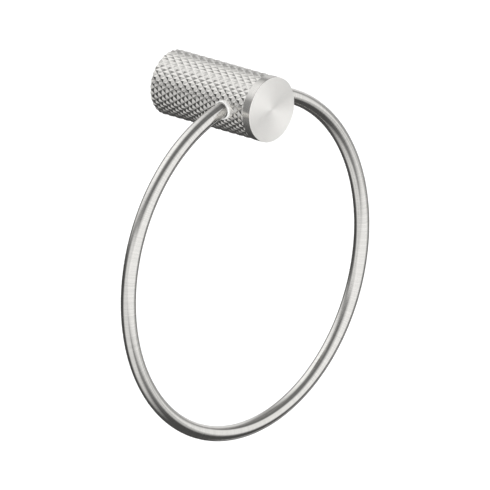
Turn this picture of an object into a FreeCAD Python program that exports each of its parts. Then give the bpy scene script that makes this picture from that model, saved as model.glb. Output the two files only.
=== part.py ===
import FreeCAD, Part
import math
import os
import Sketcher

# Towel ring: a plain hoop held by a diamond-knurled round post that stands out from the wall.
# The origin is the centre of the wall face. +Z is up, +X is right and -Y points into the room.
# Turned pieces are drawn round their own +Z, which points away from the wall.

# Driving sizes in mm, with one count for the knurl
DRIVING_SIZES = {
    "post_diameter": 35,            # over the knurl crests and the front cap
    "post_projection": 70,          # wall to front face
    "cap_thickness": 5,             # plain rim in front of the knurl
    "cap_edge": 0.3,                # small chamfer round the front face
    "cap_spigot_diameter": 22,      # plug of the cap inside the post
    "cap_spigot_length": 4,         # how far the plug goes in
    "cap_recess_depth": 5,          # pocket in the post for the plug and the lock screws
    "knurl_starts": 30,             # diamonds in one row round the post
    "knurl_pitch": 5.34,            # length of a diamond along the post
    "knurl_depth": 0.45,            # crest to groove
    "ring_diameter": 190,           # outside of the hoop
    "bar_diameter": 8,              # round bar of the hoop
    "mouth_height": 0.5,            # post axis up to the middle of the bar where it enters
    "ring_setback": 19,             # front face to the hoop's plane
    "grip_length": 13,              # straight end of the bar inside the post
    "grip_end_gap": 0.2,            # bar end to the bottom of its hole
    "collar_wall": 1.2,             # bar to the outside of the bright collar at each mouth
    "collar_height": 0.95,          # collar standing out of the post
    "collar_depth": 1.5,            # collar let into the post
    "collar_round": 0.4,            # chamfer on the collar's outer edge
    "lock_position": 9.5,           # mouth to the lock screw along the bar
    "lock_diameter": 4,             # lock screw thread
    "lock_length": 5,               # lock screw end to end
    "lock_dimple": 0.5,             # seat of the screw in the bar
    "lock_hexagon": 2,              # key size of the lock screw
    "socket_wall": 4,               # post wall round the bracket
    "socket_gap": 0.2,              # bracket face to socket floor
    "bracket_thickness": 10,        # wall to the bracket's front
    "bracket_edge": 0.5,            # chamfer on the bracket's front edge
    "groove_depth": 1.2,            # groove round the bracket for the grub screw
    "grub_height": 6,               # wall to the grub screw's axis
    "grub_diameter": 5,             # grub screw thread
    "grub_length": 5,               # grub screw end to end
    "grub_hexagon": 2.5,            # key size of the grub screw
    "key_depth": 2,                 # hexagon sockets of the screws
    "screw_edge": 0.3,              # chamfer on the outer end of the screws
    "wall_hole_diameter": 4.5,      # holes for the wall screws
    "wall_hole_spacing": 14,        # between the wall screws
    "countersink_diameter": 8.5,    # wall screw head
    "fit_clearance": 0.05,          # radial, between pieces that slide together
}

doc = FreeCAD.newDocument("towel_ring")
sizes = doc.addObject("Spreadsheet::Sheet", "sizes")
for row, (alias, value) in enumerate(DRIVING_SIZES.items(), start=1):
    sizes.set(f"A{row}", alias)
    sizes.set(f"B{row}", str(value))
    sizes.setAlias(f"B{row}", alias)
doc.recompute()

# Sizes that follow from the driving ones
POST_RADIUS = "sizes.post_diameter / 2"
BODY_LENGTH = "(sizes.post_projection - sizes.cap_thickness)"
BAR_RADIUS = "sizes.bar_diameter / 2"
HOOP_RADIUS = "((sizes.ring_diameter - sizes.bar_diameter) / 2)"
RING_HEIGHT = "(sizes.post_projection - sizes.ring_setback)"
GRIP_ANGLE = f"asin({POST_RADIUS} / {HOOP_RADIUS})"
MOUTH_Z = "sizes.mouth_height"
RING_DROP = f"({HOOP_RADIUS} * cos({GRIP_ANGLE}) - {MOUTH_Z})"
BORE_RADIUS = f"({BAR_RADIUS} + sizes.fit_clearance)"
COLLAR_RADIUS = f"({BAR_RADIUS} + sizes.collar_wall)"
COLLAR_TOP = "(sizes.collar_depth + sizes.collar_height)"
LOCK_X = f"({POST_RADIUS} - sizes.lock_position * cos({GRIP_ANGLE}))"
LOCK_Z = f"({MOUTH_Z} + sizes.lock_position * sin({GRIP_ANGLE}))"
LOCK_SEAT = f"({RING_HEIGHT} + {BAR_RADIUS} - sizes.lock_dimple)"
LOCK_TOP = f"({LOCK_SEAT} + sizes.lock_length)"
RECESS_FLOOR = f"({BODY_LENGTH} - sizes.cap_recess_depth)"
SOCKET_RADIUS = f"({POST_RADIUS} - sizes.socket_wall)"
SOCKET_DEPTH = "(sizes.bracket_thickness + sizes.socket_gap)"
BOSS_RADIUS = f"({SOCKET_RADIUS} - sizes.fit_clearance)"
GROOVE_RADIUS = f"({BOSS_RADIUS} - sizes.groove_depth)"
GRUB_RADIUS = "sizes.grub_diameter / 2"
GRUB_TOP = f"({GROOVE_RADIUS} + sizes.grub_length)"

UPRIGHT = FreeCAD.Rotation(FreeCAD.Vector(1, 0, 0), 90)      # own +Z becomes -Y, own +Y becomes +Z
DOWNWARD = FreeCAD.Rotation(FreeCAD.Vector(1, 0, 0), 180)    # own +Z becomes -Z
SIDEWAYS = {side: FreeCAD.Rotation(FreeCAD.Vector(0, 1, 0), 90 * side) for side in (-1, 1)}    # or -X and +X


def number(expression):
    """The value in mm or degrees of an expression over the sheet."""
    value = sizes.evalExpression(expression)
    return float(getattr(value, "Value", value))


def place(item, rotation, **offsets):
    """Turns an object and ties its x, y and z to expressions."""
    item.Placement = FreeCAD.Placement(FreeCAD.Vector(), rotation)
    for axis, expression in offsets.items():
        item.setExpression(f".Placement.Base.{axis}", expression)


def origin_plane(body, role):
    for item in body.Origin.OriginFeatures:
        if item.Role == role:
            return item
    raise ValueError(role)


def outline_sketch(body, name, corners):
    """Closed outline in the body's XZ plane, each corner tied to its radius and its height."""
    sketch = body.newObject("Sketcher::SketchObject", name)
    sketch.AttachmentSupport = [(origin_plane(body, "XZ_Plane"), "")]
    sketch.MapMode = "FlatFace"
    points = [FreeCAD.Vector(number(across), number(along), 0) for across, along in corners]
    for start, end in zip(points, points[1:] + points[:1]):
        sketch.addGeometry(Part.LineSegment(start, end), False)
    for line in range(len(points)):
        following = (line + 1) % len(points)
        sketch.addConstraint(Sketcher.Constraint("Coincident", line, 2, following, 1))
    for line, (corner, point) in enumerate(zip(corners, points)):
        tie_point(sketch, line, 1, corner, point)
    return sketch


def tie_point(sketch, line, end, corner, point):
    """Holds one sketch point at two expressions, or on an axis where one of them is zero."""
    for kind, axis, expression, value in (("DistanceX", -2, corner[0], point.x),
                                          ("DistanceY", -1, corner[1], point.y)):
        if expression == "0":
            sketch.addConstraint(Sketcher.Constraint("PointOnObject", line, end, axis))
            continue
        index = sketch.addConstraint(Sketcher.Constraint(kind, -1, 1, line, end, value))
        sketch.setExpression(f"Constraints[{index}]", expression)


def turned(label, corners):
    """A body turned round its own Z from the outline of half its section."""
    body = doc.addObject("PartDesign::Body", "Body_" + label)
    body.Label = label
    sketch = outline_sketch(body, "Outline_" + label, corners)
    turn = body.newObject("PartDesign::Revolution", "Turn_" + label)
    turn.Profile = sketch
    turn.ReferenceAxis = (sketch, ["V_Axis"])
    turn.Angle = 360
    doc.recompute()
    return body


def cylinder(name, radius, height):
    item = doc.addObject("Part::Cylinder", name)
    item.setExpression("Radius", radius)
    item.setExpression("Height", height)
    return item


def hexagon_socket(body, name, key_size, depth, top):
    """Cuts a key socket from the outer end of a screw."""
    prism = body.newObject("PartDesign::SubtractivePrism", name)
    prism.Polygon = 6
    prism.setExpression("Circumradius", f"{key_size} / sqrt(3)")
    prism.setExpression("Height", depth)
    prism.setExpression(".Placement.Base.z", f"{top} - {depth}")
    doc.recompute()
    return prism


def side_placement(item, side, slide):
    """Sets an object on the bar's end line: side is 1 or -1, slide is mm outwards from the mouth."""
    item.Placement = FreeCAD.Placement(FreeCAD.Vector(), FreeCAD.Rotation(FreeCAD.Vector(0, 1, 0), 90))
    item.setExpression(".Placement.Rotation.Angle", f"90 deg + {GRIP_ANGLE}")
    item.setExpression(".Placement.Rotation.Axis.y", f"{side}")
    item.setExpression(".Placement.Base.x", f"{side} * ({POST_RADIUS} + ({slide}) * cos({GRIP_ANGLE}))")
    item.setExpression(".Placement.Base.y", f"-{RING_HEIGHT}")
    item.setExpression(".Placement.Base.z", f"{MOUTH_Z} - ({slide}) * sin({GRIP_ANGLE})")


# Knurled post


def knurl_solid():
    """Solid bar of whole four-sided pyramids: grooves cross at root points, crests stand between them."""
    crest = number(POST_RADIUS)
    root = crest - number("sizes.knurl_depth")
    starts = round(number("sizes.knurl_starts"))
    pitch = number("sizes.knurl_pitch")
    rows = math.ceil(number(BODY_LENGTH) / pitch)

    def spot(across, along, radius):
        """Point at a count of half diamonds round the bar and along it."""
        turn = 2 * math.pi * across / (2 * starts)
        return FreeCAD.Vector(radius * math.cos(turn), radius * math.sin(turn), along * pitch / 2)

    faces = []
    for along in range(2 * rows + 1):
        for across in range(2 * starts):
            if (across + along) % 2 == 0:
                continue
            tip = spot(across, along, crest)
            corners = [spot(across + 1, along, root), spot(across, along + 1, root),
                       spot(across - 1, along, root), spot(across, along - 1, root)]
            for first, second, row in ((0, 1, 1), (1, 2, 1), (2, 3, -1), (3, 0, -1)):
                if 0 <= along + row <= 2 * rows:
                    outline = Part.makePolygon([tip, corners[first], corners[second], tip])
                    faces.append(Part.Face(outline))
    for along in (0, 2 * rows):
        rim = [spot(across, along, crest if (across + along) % 2 else root) for across in range(2 * starts)]
        faces.append(Part.Face(Part.makePolygon(rim + rim[:1])))
    shell = Part.Compound(faces)
    shell.sewShape()
    return Part.Solid(shell.Shells[0])


knurl = doc.addObject("Part::Feature", "Knurl")
knurl.Shape = knurl_solid()
knurl.Placement = FreeCAD.Placement(FreeCAD.Vector(), UPRIGHT)

socket = cylinder("BracketSocket", SOCKET_RADIUS, SOCKET_DEPTH)
place(socket, UPRIGHT)

recess = cylinder("CapRecess", "sizes.cap_spigot_diameter / 2 + sizes.fit_clearance", "sizes.cap_recess_depth")
place(recess, UPRIGHT, y=f"-{RECESS_FLOOR}")

beyond_rim = cylinder("BeyondRim", "sizes.post_diameter", "2 * sizes.knurl_pitch")
place(beyond_rim, UPRIGHT, y=f"-{BODY_LENGTH}")

grub_hole = cylinder("GrubHole", GRUB_RADIUS, POST_RADIUS)
place(grub_hole, DOWNWARD, y="-sizes.grub_height")

hollows = [socket, recess, beyond_rim, grub_hole]
for side, name in ((-1, "Left"), (1, "Right")):
    bore = cylinder(name + "Bore", BORE_RADIUS, "sizes.grip_length + sizes.grip_end_gap")
    side_placement(bore, side, "-sizes.grip_length - sizes.grip_end_gap")
    seat = cylinder(name + "CollarSeat", COLLAR_RADIUS, COLLAR_TOP)
    place(seat, SIDEWAYS[side], x=f"{side} * ({POST_RADIUS} - sizes.collar_depth)", y=f"-{RING_HEIGHT}")
    lock_hole = cylinder(name + "LockHole", "sizes.lock_diameter / 2", f"{RECESS_FLOOR} - {RING_HEIGHT}")
    place(lock_hole, UPRIGHT, x=f"{side} * {LOCK_X}", y=f"-{RING_HEIGHT}", z=LOCK_Z)
    hollows += [bore, seat, lock_hole]

post_hollows = doc.addObject("Part::MultiFuse", "PostHollows")
post_hollows.Shapes = hollows

post = doc.addObject("Part::Cut", "KnurledPost")
post.Base = knurl
post.Tool = post_hollows
post.Label = "knurled_post"
doc.recompute()

# Front cap

front_cap = turned("front_cap", [
    ("0", f"{BODY_LENGTH} - sizes.cap_spigot_length"),
    ("sizes.cap_spigot_diameter / 2 - sizes.cap_edge", f"{BODY_LENGTH} - sizes.cap_spigot_length"),
    ("sizes.cap_spigot_diameter / 2", f"{BODY_LENGTH} - sizes.cap_spigot_length + sizes.cap_edge"),
    ("sizes.cap_spigot_diameter / 2", BODY_LENGTH),
    (POST_RADIUS, BODY_LENGTH),
    (POST_RADIUS, "sizes.post_projection - sizes.cap_edge"),
    (f"{POST_RADIUS} - sizes.cap_edge", "sizes.post_projection"),
    ("0", "sizes.post_projection"),
])
place(front_cap, UPRIGHT)

# Ring: a hoop whose last stretch each side runs straight into the post

ring = doc.addObject("PartDesign::Body", "Ring")
ring.Label = "ring"

path = ring.newObject("Sketcher::SketchObject", "HoopPath")
path.AttachmentSupport = [(origin_plane(ring, "XZ_Plane"), "")]
path.MapMode = "FlatFace"
hoop_radius = number(HOOP_RADIUS)
hoop_centre = FreeCAD.Vector(0, -number(RING_DROP), 0)
mouth_angle = math.pi / 2 - math.radians(number(GRIP_ANGLE))
mouth = FreeCAD.Vector(number(POST_RADIUS), number(MOUTH_Z), 0)
inwards = FreeCAD.Vector(-math.sin(mouth_angle), math.cos(mouth_angle), 0)
bar_end = mouth + inwards * number("sizes.grip_length")
hoop_circle = Part.Circle(hoop_centre, FreeCAD.Vector(0, 0, 1), hoop_radius)
arc = path.addGeometry(Part.ArcOfCircle(hoop_circle, -math.pi / 2, mouth_angle), False)
grip = path.addGeometry(Part.LineSegment(mouth, bar_end), False)
path.addConstraint(Sketcher.Constraint("PointOnObject", arc, 3, -2))
path.addConstraint(Sketcher.Constraint("PointOnObject", arc, 1, -2))
drop = path.addConstraint(Sketcher.Constraint("DistanceY", arc, 3, -1, 1, -hoop_centre.y))
radius = path.addConstraint(Sketcher.Constraint("Radius", arc, hoop_radius))
reach = path.addConstraint(Sketcher.Constraint("DistanceX", -1, 1, arc, 2, mouth.x))
path.addConstraint(Sketcher.Constraint("Tangent", arc, 2, grip, 1))
length = path.addConstraint(Sketcher.Constraint("Distance", grip, 1, grip, 2, number("sizes.grip_length")))
path.setExpression(f"Constraints[{drop}]", RING_DROP)
path.setExpression(f"Constraints[{radius}]", HOOP_RADIUS)
path.setExpression(f"Constraints[{reach}]", POST_RADIUS)
path.setExpression(f"Constraints[{length}]", "sizes.grip_length")

section = ring.newObject("Sketcher::SketchObject", "BarSection")
section.AttachmentSupport = [(origin_plane(ring, "YZ_Plane"), "")]
section.MapMode = "FlatFace"
section_centre = FreeCAD.Vector(0, hoop_centre.y - hoop_radius, 0)
bar = section.addGeometry(Part.Circle(section_centre, FreeCAD.Vector(0, 0, 1), number(BAR_RADIUS)), False)
section.addConstraint(Sketcher.Constraint("PointOnObject", bar, 3, -2))
depth = section.addConstraint(Sketcher.Constraint("DistanceY", bar, 3, -1, 1, -section_centre.y))
thickness = section.addConstraint(Sketcher.Constraint("Radius", bar, number(BAR_RADIUS)))
section.setExpression(f"Constraints[{depth}]", f"{RING_DROP} + {HOOP_RADIUS}")
section.setExpression(f"Constraints[{thickness}]", BAR_RADIUS)

half_hoop = ring.newObject("PartDesign::AdditivePipe", "HalfHoop")
half_hoop.Profile = section
half_hoop.Spine = (path, [])
doc.recompute()

whole_hoop = ring.newObject("PartDesign::Mirrored", "WholeHoop")
whole_hoop.Originals = [half_hoop]
whole_hoop.MirrorPlane = (origin_plane(ring, "YZ_Plane"), [""])
ring.Tip = whole_hoop
doc.recompute()

for side, name in ((-1, "Left"), (1, "Right")):
    dimple = ring.newObject("PartDesign::SubtractiveCylinder", name + "Dimple")
    dimple.setExpression("Radius", "sizes.lock_diameter / 2 + sizes.fit_clearance")
    dimple.setExpression("Height", BAR_RADIUS)
    dimple.Placement = FreeCAD.Placement(FreeCAD.Vector(), UPRIGHT)
    dimple.setExpression(".Placement.Base.x", f"{side} * {LOCK_X}")
    dimple.setExpression(".Placement.Base.y", f"{RING_HEIGHT} - {LOCK_SEAT}")
    dimple.setExpression(".Placement.Base.z", LOCK_Z)
    ring.Tip = dimple
    doc.recompute()
ring.setExpression(".Placement.Base.y", f"-{RING_HEIGHT}")

# Collars: a bright flange at each mouth, level with the post's axis, bored along the bar

for side, name in ((-1, "left"), (1, "right")):
    flange = turned(name + "_flange", [
        ("0", "0"),
        (f"{COLLAR_RADIUS} - sizes.fit_clearance", "0"),
        (f"{COLLAR_RADIUS} - sizes.fit_clearance", f"{COLLAR_TOP} - sizes.collar_round"),
        (f"{COLLAR_RADIUS} - sizes.fit_clearance - sizes.collar_round", COLLAR_TOP),
        ("0", COLLAR_TOP),
    ])
    place(flange, SIDEWAYS[side], x=f"{side} * ({POST_RADIUS} - sizes.collar_depth)", y=f"-{RING_HEIGHT}")
    flange_bore = cylinder(name + "_flange_bore", BORE_RADIUS, f"2 * {COLLAR_RADIUS}")
    side_placement(flange_bore, side, f"-{COLLAR_RADIUS}")
    collar = doc.addObject("Part::Cut", name + "_flange_cut")
    collar.Base = flange
    collar.Tool = flange_bore
    collar.Label = name + "_collar"

# Lock screws: one from the front into each end of the bar, hidden by the cap

lock_screw = turned("lock_screw", [
    ("0", LOCK_SEAT),
    ("sizes.lock_diameter / 2 - sizes.screw_edge", LOCK_SEAT),
    ("sizes.lock_diameter / 2", f"{LOCK_SEAT} + sizes.screw_edge"),
    ("sizes.lock_diameter / 2", f"{LOCK_TOP} - sizes.screw_edge"),
    ("sizes.lock_diameter / 2 - sizes.screw_edge", LOCK_TOP),
    ("0", LOCK_TOP),
])
hexagon_socket(lock_screw, "LockKey", "sizes.lock_hexagon", "sizes.key_depth", LOCK_TOP)
place(lock_screw, UPRIGHT, x=LOCK_X, z=LOCK_Z)

second_lock_screw = doc.addObject("Part::Mirroring", "SecondLockScrew")
second_lock_screw.Source = lock_screw
second_lock_screw.Normal = FreeCAD.Vector(1, 0, 0)

lock_screws = doc.addObject("Part::Compound", "LockScrews")
lock_screws.Links = [lock_screw, second_lock_screw]
lock_screws.Label = "ring_lock_screws"

# Wall bracket: a round boss inside the back of the post

wall_bracket = turned("wall_bracket", [
    ("0", "0"),
    (BOSS_RADIUS, "0"),
    (BOSS_RADIUS, "sizes.grub_height - sizes.groove_depth"),
    (GROOVE_RADIUS, "sizes.grub_height"),
    (BOSS_RADIUS, "sizes.grub_height + sizes.groove_depth"),
    (BOSS_RADIUS, "sizes.bracket_thickness - sizes.bracket_edge"),
    (f"{BOSS_RADIUS} - sizes.bracket_edge", "sizes.bracket_thickness"),
    ("0", "sizes.bracket_thickness"),
])
place(wall_bracket, UPRIGHT)

for side, name in ((-1, "Left"), (1, "Right")):
    hole = wall_bracket.newObject("PartDesign::SubtractiveCylinder", name + "WallHole")
    hole.setExpression("Radius", "sizes.wall_hole_diameter / 2")
    hole.setExpression("Height", "sizes.bracket_thickness")
    hole.setExpression(".Placement.Base.x", f"{side} * sizes.wall_hole_spacing / 2")
    wall_bracket.Tip = hole
    doc.recompute()
    sink = wall_bracket.newObject("PartDesign::SubtractiveCone", name + "Countersink")
    sink.setExpression("Radius1", "sizes.wall_hole_diameter / 2")
    sink.setExpression("Radius2", "sizes.countersink_diameter / 2")
    sink.setExpression("Height", "(sizes.countersink_diameter - sizes.wall_hole_diameter) / 2")
    sink.setExpression(".Placement.Base.x", f"{side} * sizes.wall_hole_spacing / 2")
    sink.setExpression(".Placement.Base.z",
                       "sizes.bracket_thickness - (sizes.countersink_diameter - sizes.wall_hole_diameter) / 2")
    wall_bracket.Tip = sink
    doc.recompute()

# Grub screw: from below, its point in the bracket's groove

grub_screw = turned("grub_screw", [
    ("0", GROOVE_RADIUS),
    (GRUB_RADIUS, f"{GROOVE_RADIUS} + {GRUB_RADIUS}"),
    (GRUB_RADIUS, f"{GRUB_TOP} - sizes.screw_edge"),
    (f"{GRUB_RADIUS} - sizes.screw_edge", GRUB_TOP),
    ("0", GRUB_TOP),
])
hexagon_socket(grub_screw, "GrubKey", "sizes.grub_hexagon", "sizes.key_depth", GRUB_TOP)
place(grub_screw, DOWNWARD, y="-sizes.grub_height")

doc.recompute()

# Every object is checked before any file is written
for item in doc.Objects:
    if {"Invalid", "Error"} & set(item.State):
        raise RuntimeError(f"{item.Label} is {item.State}")

NODES = ["knurled_post", "front_cap", "ring", "left_collar", "right_collar", "ring_lock_screws",
         "wall_bracket", "grub_screw"]
os.makedirs("parts", exist_ok=True)
for node in NODES:
    piece = doc.getObjectsByLabel(node)[0]
    if piece.Shape.isNull() or not piece.Shape.isValid():
        raise RuntimeError(f"{node} has no valid shape")
    piece.Shape.exportStep(f"parts/{node}.step")
    print(node, len(piece.Shape.Solids), "solid", round(piece.Shape.Volume, 1), "cubic mm")
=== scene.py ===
import math

import bmesh
import bpy
from mathutils import Matrix, Vector


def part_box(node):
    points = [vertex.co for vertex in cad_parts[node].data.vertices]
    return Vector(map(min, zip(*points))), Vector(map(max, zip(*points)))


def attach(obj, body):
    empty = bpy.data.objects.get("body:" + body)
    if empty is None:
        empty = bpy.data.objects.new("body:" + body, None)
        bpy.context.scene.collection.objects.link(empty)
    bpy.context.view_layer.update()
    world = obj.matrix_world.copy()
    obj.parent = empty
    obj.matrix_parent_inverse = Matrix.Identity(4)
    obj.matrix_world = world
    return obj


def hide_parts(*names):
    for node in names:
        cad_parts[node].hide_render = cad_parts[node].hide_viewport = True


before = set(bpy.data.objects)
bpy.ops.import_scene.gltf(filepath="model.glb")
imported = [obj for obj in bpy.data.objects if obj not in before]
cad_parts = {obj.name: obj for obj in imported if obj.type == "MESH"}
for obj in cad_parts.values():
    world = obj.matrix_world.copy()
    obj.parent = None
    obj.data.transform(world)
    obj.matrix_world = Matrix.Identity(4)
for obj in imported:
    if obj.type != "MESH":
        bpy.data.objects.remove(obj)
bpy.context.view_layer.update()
mm = 0.001
creaseAngle = math.radians(40)      # sharper corners stay sharp when a mesh is smoothed
scene = bpy.context.scene


# small helpers

def newObject(name, data):
    piece = bpy.data.objects.new(name, data)
    scene.collection.objects.link(piece)
    return piece


def meshFrom(name, bm):
    bmesh.ops.recalc_face_normals(bm, faces=bm.faces)
    mesh = bpy.data.meshes.new(name)
    bm.to_mesh(mesh)
    bm.free()
    return mesh


def smoothFaces(mesh):
    mesh.polygons.foreach_set("use_smooth", [True] * len(mesh.polygons))
    mesh.set_sharp_from_angle(angle=creaseAngle)
    mesh.update()


def setMaterial(mesh, material):
    mesh.materials.clear()
    mesh.materials.append(material)


def roundOff(corner, before, after, radius, steps):
    # swaps a sharp corner of an outline for a short arc
    start = corner + (before - corner).normalized() * radius
    end = corner + (after - corner).normalized() * radius
    points = []
    for step in range(steps + 1):
        share = step / steps
        points.append(start * (1 - share) ** 2 + corner * 2 * share * (1 - share) + end * share ** 2)
    return points


def joinRings(bm, rings, closed=False):
    # faces from each ring of points to the next; a single point closes an end
    pairs = list(zip(rings, rings[1:]))
    if closed:
        pairs.append((rings[-1], rings[0]))
    for low, high in pairs:
        count = max(len(low), len(high))
        for step in range(count):
            after = (step + 1) % count
            if len(low) == 1:
                bm.faces.new((low[0], high[step], high[after]))
            elif len(high) == 1:
                bm.faces.new((low[step], low[after], high[0]))
            else:
                bm.faces.new((low[step], low[after], high[after], high[step]))


def turnedMesh(name, outline, segments, closed=False):
    # spins an outline of (radius, height) points round +Z
    bm = bmesh.new()
    rings = []
    for radius, height in outline:
        if radius == 0:
            rings.append([bm.verts.new((0, 0, height))])
            continue
        ring = []
        for step in range(segments):
            turn = 2 * math.pi * step / segments
            ring.append(bm.verts.new((radius * math.cos(turn), radius * math.sin(turn), height)))
        rings.append(ring)
    joinRings(bm, rings, closed)
    return meshFrom(name, bm)


def outwards(azimuth, elevation):
    # direction in degrees: azimuth 0 is straight in front of the object, and plus is to the right
    around, above = math.radians(azimuth), math.radians(elevation)
    return Vector((math.sin(around) * math.cos(above), -math.cos(around) * math.cos(above),
                   math.sin(above)))


# node helpers

def newGroup(name, inputs, outputs):
    group = bpy.data.node_groups.new(name, "ShaderNodeTree")
    for label, kind, value in inputs:
        socket = group.interface.new_socket(name=label, in_out="INPUT", socket_type=kind)
        if value is not None:
            socket.default_value = value
    for label, kind in outputs:
        group.interface.new_socket(name=label, in_out="OUTPUT", socket_type=kind)
    return group


def addNode(tree, kind, place, **settings):
    node = tree.nodes.new(kind)
    node.location = place
    for key, value in settings.items():
        setattr(node, key, value)
    return node


def addMath(tree, operation, place, first, second=None, third=None, clamp=False):
    node = addNode(tree, "ShaderNodeMath", place, operation=operation, use_clamp=clamp)
    for slot, value in enumerate((first, second, third)):
        if value is None:
            continue
        if isinstance(value, (int, float)):
            node.inputs[slot].default_value = value
        else:
            tree.links.new(value, node.inputs[slot])
    return node.outputs[0]


def addTint(tree, place, colour, tone):
    # colour times tone
    mix = addNode(tree, "ShaderNodeMix", place, data_type="RGBA", blend_type="MULTIPLY")
    mix.inputs["Factor"].default_value = 1.0
    if isinstance(colour, tuple):
        mix.inputs["A"].default_value = (*colour, 1)
    else:
        tree.links.new(colour, mix.inputs["A"])
    tree.links.new(tone, mix.inputs["B"])
    return mix.outputs["Result"]


print("stage 1: frame loaded")


# sizes read from the frame

postLow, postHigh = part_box("knurled_post")
capLow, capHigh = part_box("front_cap")
ringLow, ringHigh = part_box("ring")
postRadius = capHigh.x
frontY = capLow.y
capBackY = postLow.y
barRadius = (ringHigh.y - ringLow.y) / 2
ringY = (ringHigh.y + ringLow.y) / 2
hoopRadius = (ringHigh.x - ringLow.x) / 2 - barRadius
hoopCentre = Vector((0, ringY, ringLow.z + barRadius + hoopRadius))
gripAngle = math.asin(postRadius / hoopRadius)
mouthZ = hoopCentre.z + hoopRadius * math.cos(gripAngle)
upright = Matrix.Rotation(math.radians(90), 4, "X")     # own +Z becomes -Y, out of the wall


# lines of brushed and turned metal

brush = {
    "fineShare": 0.65,          # of the pattern, the rest is coarse
    "fineDetail": 3.0, "fineRoughness": 0.6,
    "coarseDetail": 2.0,
    "turnedDrift": 0.0004,      # how much the lines change round a turned piece
    "brushedDrift": 0.02,       # and along each line across the bar
}


def makeBrushGroup():
    # fine lines that run where the coordinate changes slowly
    group = newGroup("brushLines", [
        ("Vector", "NodeSocketVector", None),
        ("Fine", "NodeSocketFloat", 900.0),
        ("Coarse", "NodeSocketFloat", 120.0),
        ("Tone Spread", "NodeSocketFloat", 0.1),
        ("Roughness", "NodeSocketFloat", 0.25),
        ("Roughness Spread", "NodeSocketFloat", 0.1),
    ], [
        ("Height", "NodeSocketFloat"),
        ("Tone", "NodeSocketFloat"),
        ("Roughness", "NodeSocketFloat"),
    ])
    start = addNode(group, "NodeGroupInput", (-900, 0))
    end = addNode(group, "NodeGroupOutput", (500, 0))
    fine = addNode(group, "ShaderNodeTexNoise", (-600, 200))
    fine.inputs["Detail"].default_value = brush["fineDetail"]
    fine.inputs["Roughness"].default_value = brush["fineRoughness"]
    coarse = addNode(group, "ShaderNodeTexNoise", (-600, -100))
    coarse.inputs["Detail"].default_value = brush["coarseDetail"]
    group.links.new(start.outputs["Vector"], fine.inputs["Vector"])
    group.links.new(start.outputs["Vector"], coarse.inputs["Vector"])
    group.links.new(start.outputs["Fine"], fine.inputs["Scale"])
    group.links.new(start.outputs["Coarse"], coarse.inputs["Scale"])
    coarsePart = addMath(group, "MULTIPLY", (-500, -250), coarse.outputs["Fac"], 1 - brush["fineShare"])
    both = addMath(group, "MULTIPLY_ADD", (-350, 100), fine.outputs["Fac"], brush["fineShare"], coarsePart)
    swing = addMath(group, "SUBTRACT", (-150, 100), both, 0.5)      # noise lies round a half
    tone = addMath(group, "MULTIPLY_ADD", (50, 0), swing, start.outputs["Tone Spread"], 1.0)
    rough = addMath(group, "MULTIPLY_ADD", (50, -200), swing, start.outputs["Roughness Spread"],
                    start.outputs["Roughness"], clamp=True)
    group.links.new(both, end.inputs["Height"])
    group.links.new(tone, end.inputs["Tone"])
    group.links.new(rough, end.inputs["Roughness"])
    return group


brushGroup = makeBrushGroup()


def metalMaterial(name, look, makeVector):
    # one brushed or turned metal; makeVector lays the lines out on the piece
    material = bpy.data.materials.new(name)
    material.use_nodes = True
    tree = material.node_tree
    shader = tree.nodes["Principled BSDF"]
    shader.inputs["Metallic"].default_value = look.get("metallic", 1.0)
    shader.inputs["Anisotropic"].default_value = look["anisotropic"]
    lines = addNode(tree, "ShaderNodeGroup", (-500, 0), node_tree=brushGroup)
    for label, key in (("Fine", "fine"), ("Coarse", "coarse"), ("Tone Spread", "toneSpread"),
                       ("Roughness", "roughness"), ("Roughness Spread", "roughnessSpread")):
        lines.inputs[label].default_value = look[key]
    tree.links.new(makeVector(tree), lines.inputs["Vector"])
    tint = addTint(tree, (-250, 200), look["colour"], lines.outputs["Tone"])
    tree.links.new(tint, shader.inputs["Base Color"])
    tree.links.new(lines.outputs["Roughness"], shader.inputs["Roughness"])
    if "bump" in look:
        bump = addNode(tree, "ShaderNodeBump", (-250, -200))
        bump.inputs["Strength"].default_value = look["bump"]
        bump.inputs["Distance"].default_value = look["bumpDepth"]
        tree.links.new(lines.outputs["Height"], bump.inputs["Height"])
        tree.links.new(bump.outputs["Normal"], shader.inputs["Normal"])
    if "tangentAxis" in look:
        tangent = addNode(tree, "ShaderNodeTangent", (-250, -450), direction_type="RADIAL",
                          axis=look["tangentAxis"])
        tree.links.new(tangent.outputs["Tangent"], shader.inputs["Tangent"])
        shader.inputs["Anisotropic Rotation"].default_value = look["tangentTurn"]
    return material


def splitPlace(tree):
    place = addNode(tree, "ShaderNodeTexCoord", (-1400, 0)).outputs["Object"]
    split = addNode(tree, "ShaderNodeSeparateXYZ", (-1200, 0))
    tree.links.new(place, split.inputs[0])
    return split


def axisDistance(tree, split):
    # how far a point is from the post's axis
    squareX = addMath(tree, "MULTIPLY", (-1000, 200), split.outputs["X"], split.outputs["X"])
    squareZ = addMath(tree, "MULTIPLY", (-1000, 50), split.outputs["Z"], split.outputs["Z"])
    return addMath(tree, "SQRT", (-850, 100), addMath(tree, "ADD", (-900, 150), squareX, squareZ))


def turnedVector(tree):
    # rings round the post's axis: distance from it and place along it, hardly the angle
    split = splitPlace(tree)
    reach = axisDistance(tree, split)
    angle = addMath(tree, "ARCTAN2", (-1000, -200), split.outputs["X"], split.outputs["Z"])
    drift = addMath(tree, "MULTIPLY", (-850, -200), angle, brush["turnedDrift"])
    join = addNode(tree, "ShaderNodeCombineXYZ", (-700, 0))
    tree.links.new(reach, join.inputs["X"])
    tree.links.new(split.outputs["Y"], join.inputs["Y"])
    tree.links.new(drift, join.inputs["Z"])
    return join.outputs["Vector"]


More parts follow.
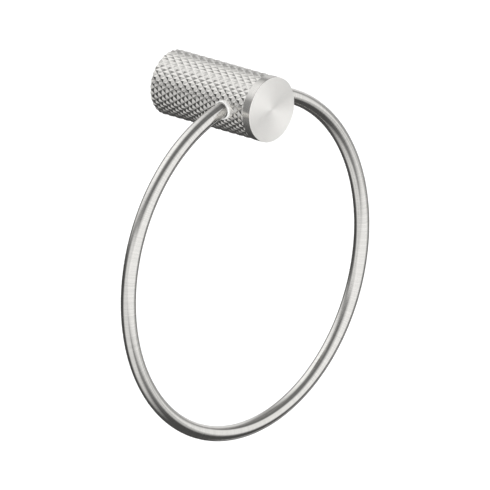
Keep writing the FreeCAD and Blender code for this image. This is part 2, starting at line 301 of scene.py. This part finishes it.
def hoopVector(tree):
    # lines across the bar: they follow the angle round the hoop's centre
    split = splitPlace(tree)
    height = addMath(tree, "SUBTRACT", (-1050, -100), split.outputs["Z"], hoopCentre.z)
    angle = addMath(tree, "ARCTAN2", (-900, -100), split.outputs["X"], height)
    arc = addMath(tree, "MULTIPLY", (-750, -100), angle, hoopRadius)
    drift = addMath(tree, "MULTIPLY", (-750, 100), split.outputs["Y"], brush["brushedDrift"])
    join = addNode(tree, "ShaderNodeCombineXYZ", (-600, 0))
    tree.links.new(arc, join.inputs["X"])
    tree.links.new(drift, join.inputs["Y"])
    return join.outputs["Vector"]


def plainVector(tree):
    # no direction, for pieces without brushed lines
    return addNode(tree, "ShaderNodeTexCoord", (-800, 0)).outputs["Object"]


# knurled post

knurl = {
    "starts": 30,               # diamonds round the post
    "pitch": 5.34 * mm,         # length of a diamond along it
    "depth": 0.45 * mm,         # crest to groove
    "crestLand": 0.06,          # share of the depth worn off the crests
    "grooveLand": 0.06,         # and filled in at the bottom of the grooves
    "perDiamond": 12,           # mesh steps in one diamond, both ways
    "look": {
        "colour": (0.77, 0.757, 0.73), "roughness": 0.05, "roughnessSpread": 0.05, "anisotropic": 0.0,
        "fine": 1500.0, "coarse": 400.0, "toneSpread": 0.35,
    },
}

postHollows = {
    "socketRadius": 13.5 * mm, "socketDepth": 10.2 * mm,      # for the wall bracket
    "recessRadius": 11.05 * mm, "recessDepth": 5 * mm,        # for the cap's spigot
    "lockRadius": 2 * mm, "lockReach": 9.5 * mm,              # lock screws, from the mouth along the bar
    "grubRadius": 2.5 * mm, "grubY": -6 * mm,
    "overrun": 1 * mm,                                        # cutters past the surface
    "segments": 96,
}

grip = {
    "length": 13 * mm,                                        # straight end of the bar inside the post
    "boreLength": 13.2 * mm, "boreRadius": 4.05 * mm,
    "collarRadius": 5.2 * mm, "collarDepth": 1.5 * mm,        # seat of the collar in the post
    "clearance": 0.05 * mm,
}


def knurlHeight(across, along):
    # 0 in the grooves, 1 on the tips; the two families of grooves lie at whole numbers
    first = across + along
    second = across - along
    height = 2 * min(abs(first - round(first)), abs(second - round(second)))
    return min(max(height, knurl["grooveLand"]), 1 - knurl["crestLand"])


def knurlMesh():
    # the knurled skin as a grid, closed by flat ends
    steps = knurl["perDiamond"]
    around = knurl["starts"] * steps
    reach = (postHigh.y - capBackY) / knurl["pitch"]
    stations = [j / steps for j in range(math.ceil(reach * steps))] + [reach]
    crest = postRadius + knurl["depth"] * knurl["crestLand"]
    bm = bmesh.new()
    rows = []
    for along in stations:
        y = postHigh.y - along * knurl["pitch"]
        row = []
        for i in range(around):
            turn = 2 * math.pi * i / around
            radius = crest - knurl["depth"] * (1 - knurlHeight(i / steps, along))
            row.append(bm.verts.new((radius * math.cos(turn), y, radius * math.sin(turn))))
        rows.append(row)
    for j, (low, high) in enumerate(zip(rows, rows[1:])):
        for i in range(around):
            after = (i + 1) % around
            first = (i + j + 1) / steps
            second = (i - j) / steps
            if abs(first - round(first)) < abs(second - round(second)):      # fold along the nearer groove
                bm.faces.new((low[i], low[after], high[i]))
                bm.faces.new((low[after], high[after], high[i]))
            else:
                bm.faces.new((low[i], low[after], high[after]))
                bm.faces.new((low[i], high[after], high[i]))
    bm.faces.new(rows[0][::-1])
    bm.faces.new(rows[-1])
    return meshFrom("knurledSleeve", bm)


def gripDirection(side):
    # out of the post along the bar's straight end
    return Vector((side * math.cos(gripAngle), 0, -math.sin(gripAngle)))


def gripPlace(side, slide=0.0):
    # own +Z runs out of the post; slide moves along the bar from the mouth
    spot = Vector((side * postRadius, ringY, mouthZ)) + gripDirection(side) * slide
    return Matrix.Translation(spot) @ gripDirection(side).to_track_quat("Z", "Y").to_matrix().to_4x4()


def sidePlace(side):
    # own +Z runs straight out of the post's side, level with its axis
    sideways = Matrix.Rotation(side * math.radians(90), 4, "Y")
    return Matrix.Translation((side * postRadius, ringY, 0)) @ sideways


def cutterRod(radius, start, end, matrix):
    mesh = turnedMesh("cutter", [(0, start), (radius, start), (radius, end), (0, end)],
                      postHollows["segments"])
    mesh.transform(matrix)
    return newObject("cutter", mesh)


def cutAway(piece, cutters):
    for cutter in cutters:
        modifier = piece.modifiers.new("cut", "BOOLEAN")
        modifier.operation = "DIFFERENCE"
        modifier.solver = "EXACT"
        modifier.object = cutter
    scene.view_layers[0].update()
    solid = piece.evaluated_get(bpy.context.evaluated_depsgraph_get())
    mesh = bpy.data.meshes.new_from_object(solid)
    piece.modifiers.clear()
    piece.data = mesh
    for cutter in cutters:
        bpy.data.objects.remove(cutter)


def postCutters():
    sizes = postHollows
    past = sizes["overrun"]
    down = Matrix.Translation((0, sizes["grubY"], 0)) @ Matrix.Rotation(math.radians(180), 4, "X")
    cutters = [
        cutterRod(sizes["socketRadius"], -past, sizes["socketDepth"], upright),
        cutterRod(sizes["recessRadius"], -capBackY - sizes["recessDepth"], -capBackY + past, upright),
        cutterRod(sizes["grubRadius"], 0, postRadius + past, down),
    ]
    for side in (-1, 1):
        cutters.append(cutterRod(grip["boreRadius"], -grip["boreLength"], 0, gripPlace(side)))
        cutters.append(cutterRod(grip["collarRadius"], -grip["collarDepth"], past, sidePlace(side)))
        seat = gripPlace(side, -sizes["lockReach"]).to_translation()
        lock = Matrix.Translation((seat.x, 0, seat.z)) @ upright
        cutters.append(cutterRod(sizes["lockRadius"], -ringY, -capBackY - past, lock))
    return cutters


def makeKnurledSleeve():
    piece = newObject("knurledSleeve", knurlMesh())
    cutAway(piece, postCutters())
    setMaterial(piece.data, metalMaterial("knurledSteel", knurl["look"], plainVector))
    return piece


sleeve = makeKnurledSleeve()
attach(sleeve, "root")
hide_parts("knurled_post")
print("stage 2: knurled post made")


# collars round the bar at the two mouths

collarBead = {
    "innerRadius": 4.0 * mm,
    "height": 0.95 * mm,        # out of the post's side
    "round": 0.52 * mm, "roundSteps": 8,
    "segments": 128,
    "look": {
        "colour": (0.95, 0.945, 0.93), "roughness": 0.30, "roughnessSpread": 0.05, "anisotropic": 0.0,
        "metallic": 0.35,
        "fine": 2000.0, "coarse": 400.0, "toneSpread": 0.02,
    },
}


def makeCollar(name, side, material):
    inner, outer = collarBead["innerRadius"], grip["collarRadius"] - grip["clearance"]
    seat, top = -grip["collarDepth"], collarBead["height"]
    corners = [Vector((inner, seat)), Vector((outer, seat)), Vector((outer, top)), Vector((inner, top))]
    radius, steps = collarBead["round"], collarBead["roundSteps"]
    outline = corners[:2]
    outline += roundOff(corners[2], corners[1], corners[3], radius, steps)
    outline += roundOff(corners[3], corners[2], corners[0], radius, steps)
    mesh = turnedMesh(name, outline, collarBead["segments"], closed=True)
    mesh.transform(sidePlace(side))
    piece = newObject(name, mesh)
    cutAway(piece, [cutterRod(grip["boreRadius"], -grip["boreLength"], grip["boreLength"], gripPlace(side))])
    smoothFaces(piece.data)
    setMaterial(piece.data, material)
    return piece


collarSteel = metalMaterial("polishedSteel", collarBead["look"], plainVector)
for side, node, name in ((-1, "left_collar", "leftCollar"), (1, "right_collar", "rightCollar")):
    collar = makeCollar(name, side, collarSteel)
    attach(collar, "root")
    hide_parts(node)
print("stage 3: collars made")


# front cap

cap = {
    "segments": 256,
    "spigotRadius": 11.0 * mm,
    "rimSlope": 0.5,            # faces that look sideways belong to the rim
    "faceEdge": 0.3 * mm,       # bright rounding round the face
    "edgeSteps": 4,
    "flatStart": 0.36 * mm,     # from there inwards the face and the rim are shaded flat
    "faceLook": {
        "colour": (1.0, 0.985, 0.955), "roughness": 0.36, "roughnessSpread": 0.10, "anisotropic": 1.0,
        "metallic": 0.80,
        "fine": 2600.0, "coarse": 420.0, "toneSpread": 0.06, "bump": 0.05, "bumpDepth": 0.00005,
        "tangentAxis": "Y", "tangentTurn": 0.31,
    },
    "rimLook": {
        "colour": (0.71, 0.698, 0.673), "roughness": 0.18, "roughnessSpread": 0.06, "anisotropic": 0.9,
        "fine": 2600.0, "coarse": 900.0, "toneSpread": 0.12, "bump": 0.05, "bumpDepth": 0.00005,
        "tangentAxis": "Y", "tangentTurn": 0.25,
    },
}


def makeFrontDisc():
    front, back, deep = -frontY, -capBackY, -capHigh.y
    corner, flat = Vector((postRadius, front)), cap["flatStart"]
    outline = [Vector((0, deep)), Vector((cap["spigotRadius"], deep)), Vector((cap["spigotRadius"], back)),
               Vector((postRadius, back)), Vector((postRadius, front - flat))]
    outline += roundOff(corner, Vector((postRadius, back)), Vector((0, front)),
                        cap["faceEdge"], cap["edgeSteps"])
    outline += [Vector((postRadius - flat, front)), Vector((0, front))]
    mesh = turnedMesh("frontDisc", outline, cap["segments"])
    mesh.transform(upright)
    smoothFaces(mesh)
    mesh.materials.append(metalMaterial("turnedSteel", cap["faceLook"], turnedVector))
    mesh.materials.append(metalMaterial("rimSteel", cap["rimLook"], turnedVector))
    for face in mesh.polygons:
        if abs(face.normal.y) < cap["rimSlope"]:
            face.material_index = 1
    return newObject("frontDisc", mesh)


disc = makeFrontDisc()
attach(disc, "root")
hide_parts("front_cap")
print("stage 4: front cap made")


# ring

hoop = {
    "stepsAlong": 480,
    "stepsRound": 64,
    "gripSteps": 6,             # in each straight end
    "mouthShadeTone": 0.5,           # painted shade at the mouths: the bar's colour darkens to this share where it meets the post
    "mouthShadeReach": 4.5 * mm,     # out from the collar, until the painted shade has faded away
    "look": {
        "colour": (0.80, 0.787, 0.76), "roughness": 0.12, "roughnessSpread": 0.10, "anisotropic": 0.6,
        "fine": 2000.0, "coarse": 700.0, "toneSpread": 0.50, "bump": 1.0, "bumpDepth": 0.00002,
        "tangentAxis": "Y", "tangentTurn": 0.0,
    },
}


def gripPoints(side):
    # points along a straight end, from its tip inside the post to the mouth
    outward = Vector((side * math.sin(gripAngle), 0, math.cos(gripAngle)))
    mouth = hoopCentre + outward * hoopRadius
    points = []
    for step in range(hoop["gripSteps"]):
        inside = grip["length"] * (1 - step / hoop["gripSteps"])
        points.append((mouth - gripDirection(side) * inside, outward))
    return points


def hoopPath():
    # points down the left side, round the bottom and up the right, each with its outward direction
    path = gripPoints(-1)
    sweep = math.pi - gripAngle
    for step in range(hoop["stepsAlong"] + 1):
        turn = -gripAngle - 2 * sweep * step / hoop["stepsAlong"]
        direction = Vector((math.sin(turn), 0, math.cos(turn)))
        path.append((hoopCentre + direction * hoopRadius, direction))
    return path + gripPoints(1)[::-1]


# painted shade: darkens the bar's colour near the mouths, where it meets the post and shade falls
def paintMouthShade(material):
    tree = material.node_tree
    shader = tree.nodes["Principled BSDF"]
    start = postRadius + collarBead["height"]
    fade = addNode(tree, "ShaderNodeMapRange", (-450, 500), interpolation_type="SMOOTHSTEP")
    fade.inputs["From Min"].default_value = start
    fade.inputs["From Max"].default_value = start + hoop["mouthShadeReach"]
    fade.inputs["To Min"].default_value = hoop["mouthShadeTone"]
    tree.links.new(axisDistance(tree, splitPlace(tree)), fade.inputs["Value"])
    colour = shader.inputs["Base Color"].links[0].from_socket
    tree.links.new(addTint(tree, (-150, 450), colour, fade.outputs["Result"]), shader.inputs["Base Color"])
    return material


def makeHoopBar():
    bm = bmesh.new()
    sections = []
    for place, outward in hoopPath():
        section = []
        for step in range(hoop["stepsRound"]):
            turn = 2 * math.pi * step / hoop["stepsRound"]
            offset = outward * math.cos(turn) + Vector((0, 1, 0)) * math.sin(turn)
            section.append(bm.verts.new(place + offset * barRadius))
        sections.append(section)
    joinRings(bm, sections)
    bm.faces.new(sections[0][::-1])
    bm.faces.new(sections[-1])
    mesh = meshFrom("hoopBar", bm)
    smoothFaces(mesh)
    # the bar's colour carries painted shade near the mouths
    mesh.materials.append(paintMouthShade(metalMaterial("brushedSteel", hoop["look"], hoopVector)))
    return newObject("hoopBar", mesh)


bar = makeHoopBar()
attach(bar, "root")
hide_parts("ring")
print("stage 5: ring made")


# fixings that stay as the CAD nodes

fixings = {
    "machinedSteel": {
        "nodes": ["wall_bracket"],
        "look": {
            "colour": (0.66, 0.65, 0.635), "roughness": 0.34, "roughnessSpread": 0.15, "anisotropic": 0.4,
            "metallic": 0.75,
            "fine": 1800.0, "coarse": 500.0, "toneSpread": 0.20, "bump": 0.3, "bumpDepth": 0.00002,
            "tangentAxis": "Y", "tangentTurn": 0.25,
        },
    },
    "darkScrew": {
        "nodes": ["ring_lock_screws", "grub_screw"],
        "look": {
            "colour": (0.10, 0.10, 0.105), "roughness": 0.42, "roughnessSpread": 0.20, "anisotropic": 0.0,
            "fine": 3000.0, "coarse": 900.0, "toneSpread": 0.35, "bump": 0.3, "bumpDepth": 0.00002,
        },
    },
}


def finishFixings():
    for name, fixing in fixings.items():
        turned = "tangentAxis" in fixing["look"]
        material = metalMaterial(name, fixing["look"], turnedVector if turned else plainVector)
        for node in fixing["nodes"]:
            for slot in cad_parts[node].material_slots:
                slot.material = material


finishFixings()
print("stage 6: fixings finished")


# camera

camera = {
    "azimuth": -47.86, "elevation": 18.18,      # degrees round the object and above the horizon
    "frameWidth": 0.2563,                       # metres across the picture
    "aimRight": -0.01409, "aimUp": -0.07066,    # picture centre, seen from the middle of the front face
    "distance": 1.2,
    "clipStart": 0.01,
}


def makeCamera():
    back = outwards(camera["azimuth"], camera["elevation"])
    turn = back.to_track_quat("Z", "Y")
    lens = bpy.data.cameras.new("photoCamera")
    lens.type = "ORTHO"
    lens.ortho_scale = camera["frameWidth"]
    lens.clip_start = camera["clipStart"]
    shot = newObject("photoCamera", lens)
    aim = Vector((0, frontY, 0)) + turn @ Vector((camera["aimRight"], camera["aimUp"], 0))
    shot.location = aim + back * camera["distance"]
    shot.rotation_euler = turn.to_euler()
    scene.camera = shot


makeCamera()


# studio that the metal reflects: soft panels in a dim room

studio = {
    "floorLevel": 0.08, "ceilingLevel": 0.19,
    "floorEdge": -0.22, "ceilingEdge": 0.4,     # sines of the heights between which the room brightens
    "background": 1.0,                          # what the camera sees behind the object
    "leastDepth": 0.001,                        # keeps the panels' division finite
    # direction, roll and half size in degrees, softness as a share of the distance
    "panels": {
        "front": dict(azimuth=-9.6, elevation=-2.7, roll=6,
                      width=57.6, height=34.7, soft=0.44, level=1.01),
        "wideFront": dict(azimuth=-23, elevation=14.6, roll=-13,
                          width=61, height=25.3, soft=0.6, level=1.1),
        "lowFront": dict(azimuth=-23, elevation=-38.4, roll=15,
                         width=30.6, height=14, soft=0.8, level=0.48),
        "left": dict(azimuth=-89, elevation=-22, roll=-3.8,
                     width=36.3, height=50, soft=0.44, level=0.8),
        "aboveLeft": dict(azimuth=-93, elevation=18, roll=-74.7,
                          width=27.8, height=51.7, soft=0.75, level=0.41),
        "highLeft": dict(azimuth=-101, elevation=65, roll=4.6,
                         width=14.5, height=25.7, soft=0.21, level=0.33),
        "underLeft": dict(azimuth=-86.7, elevation=-69, roll=2.4,
                          width=26.4, height=6.3, soft=0.57, level=1.24),
        "right": dict(azimuth=45, elevation=11.8, roll=24,
                      width=30.3, height=26.6, soft=0.19, level=0.93),
        "lowRight": dict(azimuth=89.5, elevation=-39.6, roll=49,
                         width=19.8, height=4.3, soft=0.04, level=0.61),
        "farRight": dict(azimuth=112.5, elevation=23, roll=-41,
                         width=56.5, height=24.5, soft=0.39, level=0.415),
        "backRight": dict(azimuth=119.5, elevation=16, roll=29,
                          width=22.4, height=23, soft=0.26, level=0.81),
        "back": dict(azimuth=190.5, elevation=46.7, roll=32,
                     width=31.7, height=37, soft=0.52, level=1.125),
    },
}


def makeSoftboxGroup():
    # light of one soft-edged rectangular panel that faces the object
    group = newGroup("softbox", [
        ("Direction", "NodeSocketVector", None),
        ("Turn", "NodeSocketVector", None),
        ("Half Width", "NodeSocketFloat", 0.5),
        ("Half Height", "NodeSocketFloat", 0.5),
        ("Soft Edge", "NodeSocketFloat", 0.2),
        ("Level", "NodeSocketFloat", 1.0),
    ], [("Light", "NodeSocketFloat")])
    start = addNode(group, "NodeGroupInput", (-1200, 0))
    end = addNode(group, "NodeGroupOutput", (900, 0))
    facing = addNode(group, "ShaderNodeMapping", (-1000, 0), vector_type="TEXTURE")
    group.links.new(start.outputs["Direction"], facing.inputs["Vector"])
    group.links.new(start.outputs["Turn"], facing.inputs["Rotation"])
    split = addNode(group, "ShaderNodeSeparateXYZ", (-800, 0))
    group.links.new(facing.outputs["Vector"], split.inputs[0])
    depth = addMath(group, "ABSOLUTE", (-700, 200), split.outputs["Y"])
    depth = addMath(group, "MAXIMUM", (-600, 200), depth, studio["leastDepth"])
    edges = []
    for step, (axis, size) in enumerate((("X", "Half Width"), ("Z", "Half Height"))):
        row = -200 * step
        offset = addMath(group, "ABSOLUTE", (-600, row), split.outputs[axis])
        offset = addMath(group, "DIVIDE", (-450, row), offset, depth)
        inside = addMath(group, "SUBTRACT", (-300, row), start.outputs[size], offset)
        inside = addMath(group, "DIVIDE", (-150, row), inside, start.outputs["Soft Edge"])
        inside = addMath(group, "MULTIPLY_ADD", (0, row), inside, 0.5, 0.5)     # a half on the edge itself
        edge = addNode(group, "ShaderNodeMapRange", (150, row), interpolation_type="SMOOTHSTEP")
        group.links.new(inside, edge.inputs["Value"])
        edges.append(edge.outputs["Result"])
    mask = addMath(group, "MULTIPLY", (350, 0), edges[0], edges[1])
    ahead = addMath(group, "LESS_THAN", (350, 200), split.outputs["Y"], 0.0)
    mask = addMath(group, "MULTIPLY", (550, 0), mask, ahead)
    light = addMath(group, "MULTIPLY", (700, 0), mask, start.outputs["Level"])
    group.links.new(light, end.inputs["Light"])
    return group


softboxGroup = makeSoftboxGroup()


def panelTurn(panel):
    around = Matrix.Rotation(math.radians(panel["azimuth"]), 3, "Z")
    tilt = Matrix.Rotation(math.radians(-panel["elevation"]), 3, "X")
    roll = Matrix.Rotation(math.radians(panel["roll"]), 3, "Y")
    return (around @ tilt @ roll).to_euler("XYZ")


def panelLight(tree, direction, step, name, panel):
    box = addNode(tree, "ShaderNodeGroup", (-1000 + 200 * step, 100), node_tree=softboxGroup, label=name)
    tree.links.new(direction, box.inputs["Direction"])
    box.inputs["Turn"].default_value = panelTurn(panel)
    box.inputs["Half Width"].default_value = math.tan(math.radians(panel["width"]))
    box.inputs["Half Height"].default_value = math.tan(math.radians(panel["height"]))
    box.inputs["Soft Edge"].default_value = panel["soft"]
    box.inputs["Level"].default_value = panel["level"]
    return box.outputs["Light"]


def makeWorld():
    world = bpy.data.worlds.new("studioWorld")
    scene.world = world
    world.use_nodes = True
    tree = world.node_tree
    tree.nodes.clear()
    direction = addNode(tree, "ShaderNodeTexCoord", (-1600, 0)).outputs["Generated"]
    split = addNode(tree, "ShaderNodeSeparateXYZ", (-1400, 0))
    tree.links.new(direction, split.inputs[0])
    room = addNode(tree, "ShaderNodeMapRange", (-1200, -300), interpolation_type="SMOOTHSTEP")
    tree.links.new(split.outputs["Z"], room.inputs["Value"])
    room.inputs["From Min"].default_value = studio["floorEdge"]
    room.inputs["From Max"].default_value = studio["ceilingEdge"]
    room.inputs["To Min"].default_value = studio["floorLevel"]
    room.inputs["To Max"].default_value = studio["ceilingLevel"]
    light = room.outputs["Result"]
    for step, (name, panel) in enumerate(studio["panels"].items()):
        shine = panelLight(tree, direction, step, name, panel)
        light = addMath(tree, "MAXIMUM", (-900 + 200 * step, -100), light, shine)
    lit = addNode(tree, "ShaderNodeBackground", (1300, 100))
    tree.links.new(light, lit.inputs["Color"])
    white = addNode(tree, "ShaderNodeBackground", (1300, -100))
    white.inputs["Color"].default_value = (1, 1, 1, 1)
    white.inputs["Strength"].default_value = studio["background"]
    rays = addNode(tree, "ShaderNodeLightPath", (1300, 400))
    mix = addNode(tree, "ShaderNodeMixShader", (1500, 0))
    tree.links.new(rays.outputs["Is Camera Ray"], mix.inputs["Fac"])
    tree.links.new(lit.outputs[0], mix.inputs[1])
    tree.links.new(white.outputs[0], mix.inputs[2])
    out = addNode(tree, "ShaderNodeOutputWorld", (1700, 0))
    tree.links.new(mix.outputs[0], out.inputs["Surface"])


makeWorld()


# soft daylight that only the matt share of a material takes, over a pale floor

daylight = {
    "lamps": {
        "key": dict(azimuth=-50, elevation=30, level=0.56),
        "fill": dict(azimuth=45, elevation=50, level=0.25),
        "rear": dict(azimuth=165, elevation=30, level=0.35),
    },
    "spread": 70,               # degrees
    "floorDrop": 0.35,          # metres under the ring
    "floorSize": 12.0,
    "floorColour": (1.0, 1.0, 1.0),
}


def makeLamps():
    for name, lamp in daylight["lamps"].items():
        towards = outwards(lamp["azimuth"], lamp["elevation"])
        data = bpy.data.lights.new(name + "Lamp", "SUN")
        data.energy = lamp["level"] * math.pi
        data.angle = math.radians(daylight["spread"])
        shine = newObject(name + "Lamp", data)
        shine.rotation_euler = towards.to_track_quat("Z", "Y").to_euler()
        shine.location = towards
        shine.visible_glossy = False


def makeFloor():
    bm = bmesh.new()
    bmesh.ops.create_grid(bm, x_segments=1, y_segments=1, size=daylight["floorSize"] / 2)
    mesh = bpy.data.meshes.new("paleFloor")
    bm.to_mesh(mesh)
    bm.free()
    floor = newObject("paleFloor", mesh)
    floor.location.z = ringLow.z - daylight["floorDrop"]
    floor.visible_glossy = False
    paint = bpy.data.materials.new("floorPaint")
    paint.use_nodes = True
    shader = paint.node_tree.nodes["Principled BSDF"]
    shader.inputs["Base Color"].default_value = (*daylight["floorColour"], 1)
    shader.inputs["Roughness"].default_value = 1.0
    shader.inputs["Specular IOR Level"].default_value = 0.0
    mesh.materials.append(paint)


makeLamps()
makeFloor()
scene.view_settings.view_transform = "Standard"
print("stage 7: studio made")
